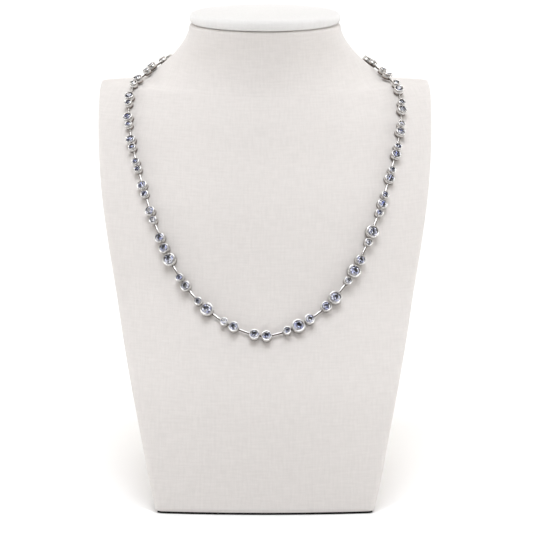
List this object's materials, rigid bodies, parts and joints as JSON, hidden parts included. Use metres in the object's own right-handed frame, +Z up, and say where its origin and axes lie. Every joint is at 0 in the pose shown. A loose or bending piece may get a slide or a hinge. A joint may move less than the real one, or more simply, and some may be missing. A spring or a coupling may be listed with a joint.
{
  "type": "cubic zirconia necklace on a neck bust stand",
  "caption": "Station necklace of round bezel-set clear stones in mixed sizes joined by short bars, on a linen-covered neck bust with a flat base.",
  "frame": {"origin": "on the floor in the middle of the footprint of the bust's outline", "axes": "+Z up, -Y the way the chest faces, +X the right side of the picture"},
  "size_m": [0.1544, 0.176, 0.2053],
  "materials": {
    "bust_linen": "fine linen weave, matte",
    "disc_linen": "fine linen weave, matte",
    "base_pad": "matte",
    "silver": "polished",
    "stones": "polished facets"
  },
  "bodies": {
    "root": {"bust_body": "bust_linen", "neck_disc": "disc_linen", "base_pad": "base_pad", "settings_left": "silver", "settings_right": "silver", "stones_left": "stones", "stones_right": "stones", "links_left": "silver", "links_right": "silver", "clasp": "silver"}
  },
  "joints": []
}
